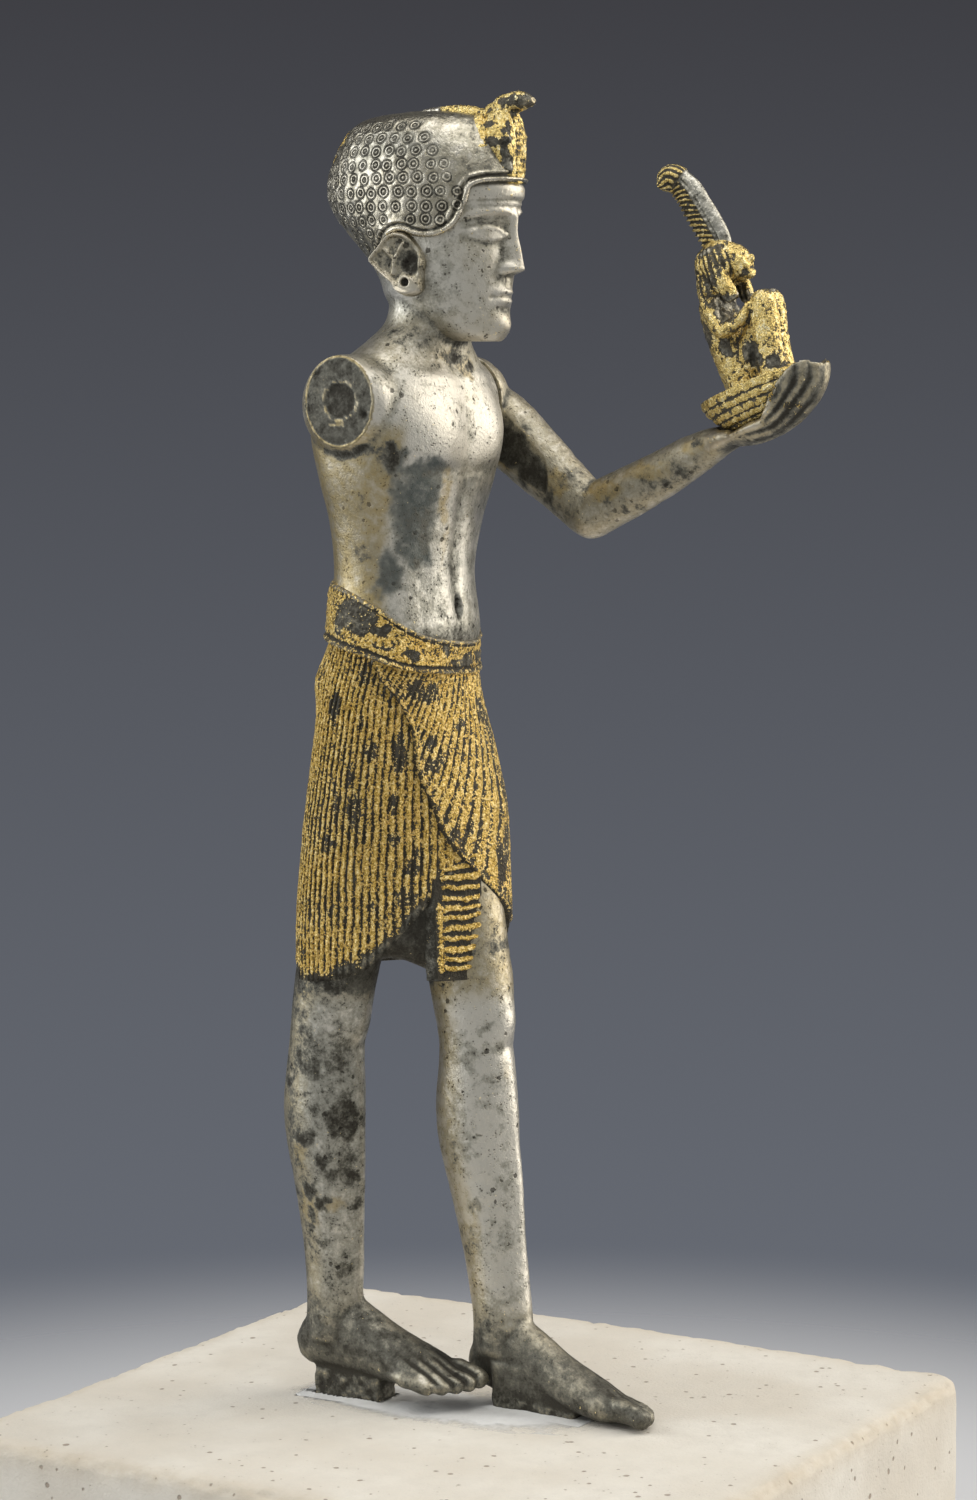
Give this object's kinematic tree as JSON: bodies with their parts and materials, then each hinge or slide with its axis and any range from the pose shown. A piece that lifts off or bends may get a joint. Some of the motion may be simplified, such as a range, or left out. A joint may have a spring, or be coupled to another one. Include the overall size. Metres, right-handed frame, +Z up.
{
  "type": "egyptian pharaoh statue",
  "caption": "Striding king in silver and leaf gold, offering a seated goddess, set by tangs in a stone block; the right arm is lost.",
  "frame": {"origin": "middle of the stone block's underside", "axes": "+Z up; the figure faces -Y and its left arm is on +X"},
  "size_m": [0.108, 0.1164, 0.2366],
  "materials": {
    "silver": "cast silver, polished high spots over grey-brown tarnish, leaf gold on kilt, belt and cobra",
    "arm_silver": "cast silver with dark tarnish in the folds",
    "leaf_gold": "worn leaf gold over dark tarnished silver",
    "stone": "sawn cream limestone, matt, with worn edges and small pits",
    "plaster": "matt white plaster, smeared by hand"
  },
  "bodies": {
    "root": {"king": "silver", "left_arm": "arm_silver", "goddess_on_basket": "leaf_gold", "stone_block": "stone", "plaster_bed": "plaster"}
  },
  "joints": []
}
